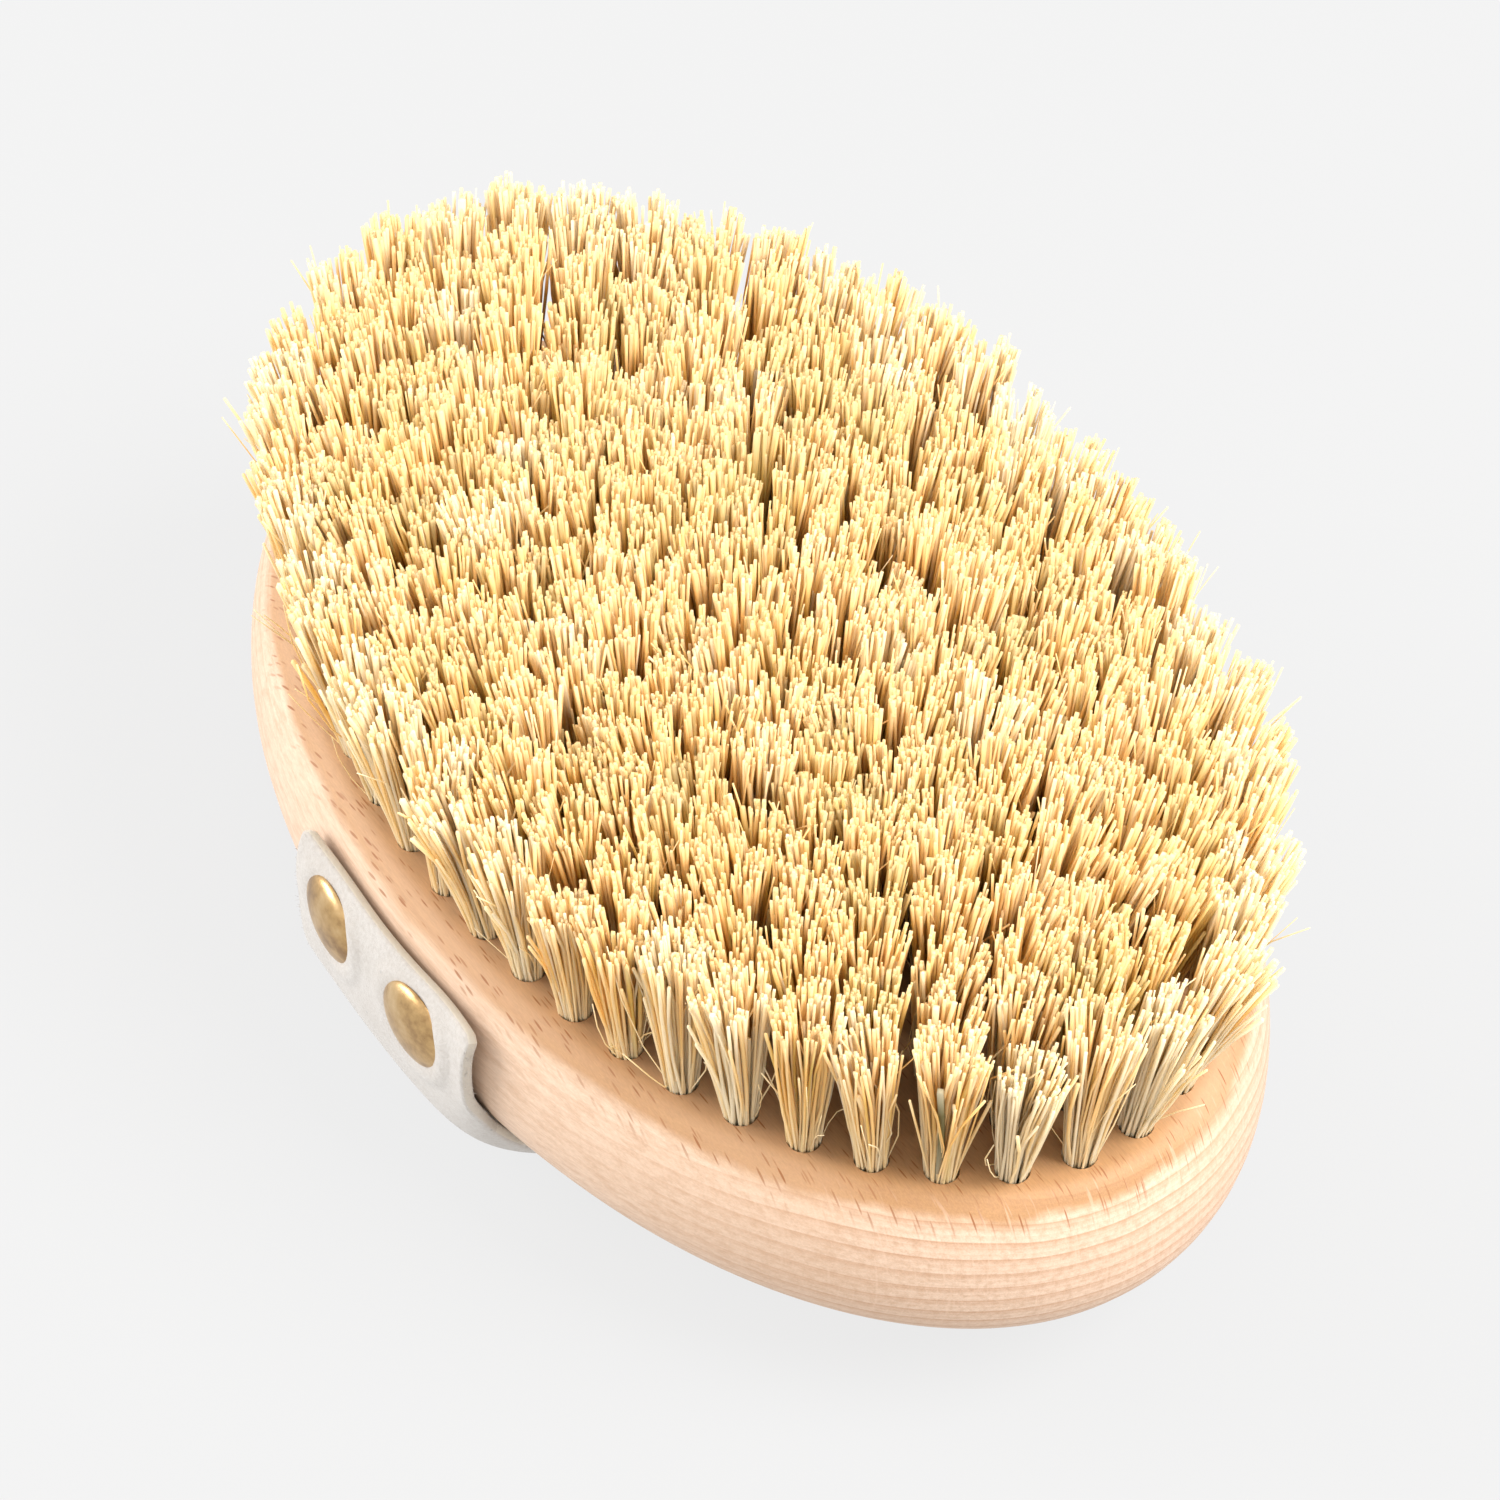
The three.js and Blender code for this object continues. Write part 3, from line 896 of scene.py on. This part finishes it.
def ring_level(tree, place):
    """Distance up through the growth rings: level layers, bent across Y and wandering along X."""
    drift = noise_value(tree, coordinates(tree, (0.010, 0.03, 0.03)), 1.0, 2.0)
    across = place.outputs["Y"]
    sag = scaled(tree, math_node(tree, "MULTIPLY", across, across), RING_SAG)
    tilt = scaled(tree, across, RING_TILT)
    level = math_node(tree, "ADD", math_node(tree, "ADD", place.outputs["Z"], sag), tilt)
    return math_node(tree, "ADD", level, scaled(tree, drift, RING_DRIFT))


def fleck_mask(tree):
    """Short dark dashes along X: the ends of the rays that break the face."""
    cells = tree.nodes.new("ShaderNodeTexVoronoi")
    cells.voronoi_dimensions = "3D"
    cells.feature = "F1"
    cells.inputs["Scale"].default_value = 1.0
    cells.inputs["Randomness"].default_value = 1.0
    wobble = noise_value(tree, coordinates(tree, (0.05, 0.3, 0.05)), 1.0, 2.0)
    shifted = tree.nodes.new("ShaderNodeVectorMath")
    shifted.operation = "ADD"
    offset = tree.nodes.new("ShaderNodeCombineXYZ")
    link(tree, scaled(tree, wobble, 0.6), offset.inputs["Y"])
    link(tree, coordinates(tree, (0.33, 3.2, 0.05)), shifted.inputs[0])
    link(tree, offset.outputs[0], shifted.inputs[1])
    link(tree, shifted.outputs[0], cells.inputs["Vector"])
    near = rise_above(tree, 0.31, cells.outputs["Distance"], 9.0)
    split = tree.nodes.new("ShaderNodeSeparateColor")
    link(tree, cells.outputs["Color"], split.inputs[0])
    chosen = math_node(tree, "GREATER_THAN", split.outputs[0], 0.22)
    strength = scaled(tree, split.outputs[1], 0.55, 0.4)
    near = math_node(tree, "MULTIPLY", near, chosen)
    return math_node(tree, "MULTIPLY", near, strength)


def fibre_material():
    """Plant fibre that lets light through: one tone per fibre, paler at its cut tip, and painted
    paler at its foot as painted light on the shaded stems.
    """
    material, tree, shader = new_material("fibre")
    tone = attribute_value(tree, "fibre_tone")
    rise = attribute_value(tree, "fibre_rise")
    colour = ramp(
        tree,
        tone,
        [
            (0.0, (1.0, 0.89, 0.66)),
            (0.25, (1.0, 0.81, 0.46)),
            (0.45, (1.0, 0.745, 0.34)),
            (0.62, (0.99, 0.70, 0.255)),
            (0.78, (0.92, 0.69, 0.205)),
            (0.93, (0.78, 0.58, 0.18)),
            (0.95, (0.42, 0.33, 0.13)),
            (0.98, (0.22, 0.19, 0.08)),
            (1.0, (0.36, 0.20, 0.09)),
        ],
    )
    tip = rise_above(tree, rise, 0.8, 2.2)
    colour = mix_colour(tree, tip, colour, (1.0, 0.90, 0.68))
    # painted light: each fibre is made paler towards its foot, standing in for light that the
    # tuft's own shade keeps from the stems
    foot = rise_above(tree, 0.6, rise, 1.5)
    colour = mix_colour(tree, foot, colour, (1.0, 0.91, 0.70))
    mottled = noise_value(tree, coordinates(tree, (1.2, 1.2, 0.12)), 1.0, 3.0)
    light = as_colour(tree, scaled(tree, mottled, 0.3, 0.85, clamp=True))
    colour = mix_colour(tree, 1.0, colour, light, "MULTIPLY")
    link(tree, colour, shader.inputs["Base Color"])
    shader.inputs["Roughness"].default_value = 0.5
    shader.inputs["Specular IOR Level"].default_value = 0.15
    through = tree.nodes.new("ShaderNodeBsdfTranslucent")
    link(tree, colour, through.inputs["Color"])
    both = tree.nodes.new("ShaderNodeMixShader")
    both.inputs[0].default_value = 0.45
    link(tree, shader.outputs[0], both.inputs[1])
    link(tree, through.outputs[0], both.inputs[2])
    link(tree, both.outputs[0], tree.nodes["Material Output"].inputs["Surface"])
    return material


def grey(tree, colour):
    """A colour's brightness."""
    made = tree.nodes.new("ShaderNodeRGBToBW")
    link(tree, colour, made.inputs[0])
    return made.outputs[0]


def as_colour(tree, value):
    """A value as a grey colour."""
    made = tree.nodes.new("ShaderNodeCombineColor")
    for socket in made.inputs:
        link(tree, value, socket)
    return made.outputs[0]


def suede_material():
    """Napped off-white suede: soft mottling, nap, painted shade in small pits, a slightly creamier
    cut edge and a top cut edge painted lighter as painted light.
    """
    material, tree, shader = new_material("suede")
    nap = noise_value(tree, coordinates(tree), 2.2, 6.0, 0.7)
    cloudy = noise_value(tree, coordinates(tree), 0.16, 3.0)
    colour = ramp(tree, cloudy, [(0.3, (0.44, 0.40, 0.36)), (0.7, (0.51, 0.475, 0.44))])
    fine = ramp(tree, nap, [(0.35, (0.37, 0.33, 0.285)), (0.6, (0.53, 0.50, 0.465))])
    colour = mix_colour(tree, 0.4, colour, fine)
    # painted shade: small dark grey spots stand in for the shade inside tiny pits of the suede
    pit_shade_cells = tree.nodes.new("ShaderNodeTexVoronoi")
    pit_shade_cells.inputs["Scale"].default_value = 0.42
    link(tree, coordinates(tree), pit_shade_cells.inputs["Vector"])
    painted_pit_shade = rise_above(tree, 0.10, pit_shade_cells.outputs["Distance"], 14.0)
    colour = mix_colour(tree, scaled(tree, painted_pit_shade, 0.5), colour, (0.20, 0.20, 0.20))
    edge = attribute_value(tree, "cut_edge")
    # cut edges: 1.0 keeps the creamier colour of the side edges; 0.5 is the top edge painted
    # lighter, painted light against the block's shadow
    edge_colour_and_painted_light = ramp(tree, edge, [(0.5, (0.58, 0.54, 0.46)), (1.0, (0.47, 0.425, 0.36))])
    on_edge = scaled(tree, edge, 4.0, clamp=True)
    colour = mix_colour(tree, on_edge, colour, edge_colour_and_painted_light)
    link(tree, colour, shader.inputs["Base Color"])
    shader.inputs["Roughness"].default_value = 0.95
    shader.inputs["Specular IOR Level"].default_value = 0.15
    shader.inputs["Sheen Weight"].default_value = 0.3
    shader.inputs["Sheen Roughness"].default_value = 0.6
    bump(tree, nap, 0.7, 0.2, shader)
    return material


def brass_material():
    """Brushed brass, lightly worn and dulled in patches; the dark patches are partly patina and
    partly painted reflection.
    """
    material, tree, shader = new_material("brass")
    along_brushing = coordinates(tree, (0.5, 5.0, 6.0), turn=(0.4, 0, 0.2))
    brushed = noise_value(tree, along_brushing, 1.0, 4.0, 0.65)
    patina_and_painted_reflection = noise_value(tree, coordinates(tree), 0.35, 4.0, 0.6)
    # dark patches: partly patina, partly painted reflection that gives the heads the
    # dark-and-bright contrast the even white surroundings don't
    colour = ramp(
        tree,
        patina_and_painted_reflection,
        [
            (0.34, (0.33, 0.19, 0.085)),
            (0.52, (0.60, 0.39, 0.175)),
            (0.72, (0.76, 0.55, 0.30)),
        ],
    )
    colour = mix_colour(tree, scaled(tree, brushed, 0.3), colour, (0.50, 0.32, 0.15))
    link(tree, colour, shader.inputs["Base Color"])
    link(tree, scaled(tree, brushed, 0.25, 0.2), shader.inputs["Roughness"])
    shader.inputs["Metallic"].default_value = 1.0
    bump(tree, brushed, 0.3, 0.03, shader)
    return material


# ================================================================ stage, lights, camera
def build_stage():
    """A pale floor that glows a little, so that it stays even and shadows stay faint."""
    bm = bmesh.new()
    bmesh.ops.create_grid(bm, x_segments=1, y_segments=1, size=3000)
    floor = place_mesh("floor", to_mesh("floor", bm))
    material, _, shader = new_material("pale_floor")
    shader.inputs["Base Color"].default_value = (0.045, 0.045, 0.045, 1)
    shader.inputs["Roughness"].default_value = 0.9
    shader.inputs["Specular IOR Level"].default_value = 0.0
    shader.inputs["Emission Color"].default_value = (1, 1, 1, 1)
    shader.inputs["Emission Strength"].default_value = 0.785
    floor.data.materials.append(material)


def area_light(name, place, target, size, watts):
    """A round lamp aimed at a point, in metres."""
    light = bpy.data.lights.new(name, "AREA")
    light.shape = "DISK"
    light.size = size
    light.energy = watts
    lamp = bpy.data.objects.new(name, light)
    lamp.location = place
    lamp.rotation_euler = (Vector(target) - Vector(place)).to_track_quat("-Z", "Y").to_euler()
    SCENE.collection.objects.link(lamp)


def build_lights():
    """White surroundings, a key lamp behind, a fill at the strap's side and a weak front lamp."""
    world = bpy.data.worlds.new("studio")
    world.use_nodes = True
    world.node_tree.nodes["Background"].inputs["Color"].default_value = (1, 1, 1, 1)
    world.node_tree.nodes["Background"].inputs["Strength"].default_value = 1.15
    SCENE.world = world
    middle = (0, 0, 0.03)
    area_light("key", (0.5, 0.35, 0.85), middle, 0.6, 15.0)
    area_light("fill", (-0.65, -0.65, 0.5), middle, 0.8, 11.0)
    area_light("front", (0.85, -0.35, 0.6), middle, 0.7, 1.6)
    SCENE.view_settings.view_transform = "Standard"


def build_camera():
    """The viewing angle: direction and distance from the face's centre, lens and a small roll."""
    azimuth, elevation, roll = (math.radians(a) for a in (-36.15, 48.28, 2.61))
    distance = 504.34
    aim = Vector((1.53, -0.83, FACE_Z))
    back = Vector(
        (
            math.cos(azimuth) * math.cos(elevation),
            math.sin(azimuth) * math.cos(elevation),
            math.sin(elevation),
        )
    )
    data = bpy.data.cameras.new("camera")
    data.sensor_width = 36.0
    data.lens = 121.0
    data.clip_start = 0.01
    camera = bpy.data.objects.new("camera", data)
    turn = (-back).to_track_quat("-Z", "Y").to_matrix().to_4x4()
    spin = Matrix.Rotation(roll, 4, "Z")
    camera.matrix_world = Matrix.Translation((aim + back * distance) * MM) @ turn @ spin
    SCENE.collection.objects.link(camera)
    SCENE.camera = camera


# ================================================================ assembly
build_camera()
build_stage()
build_lights()

rows = tuft_rows()
beech = beech_material()
fibre = fibre_material()
suede = suede_material()
brass = brass_material()

block = build_block([place for row in rows for place in row])
block.data.materials.clear()
block.data.materials.append(beech)
for bristles in build_bristles(rows):
    bristles.data.materials.append(fibre)
for leather in (build_strap(), build_nap()):
    leather.data.materials.append(suede)
for node_name, nail_seat in zip(NAILS, nail_centres()):
    build_nail(node_name, nail_seat).data.materials.append(brass)
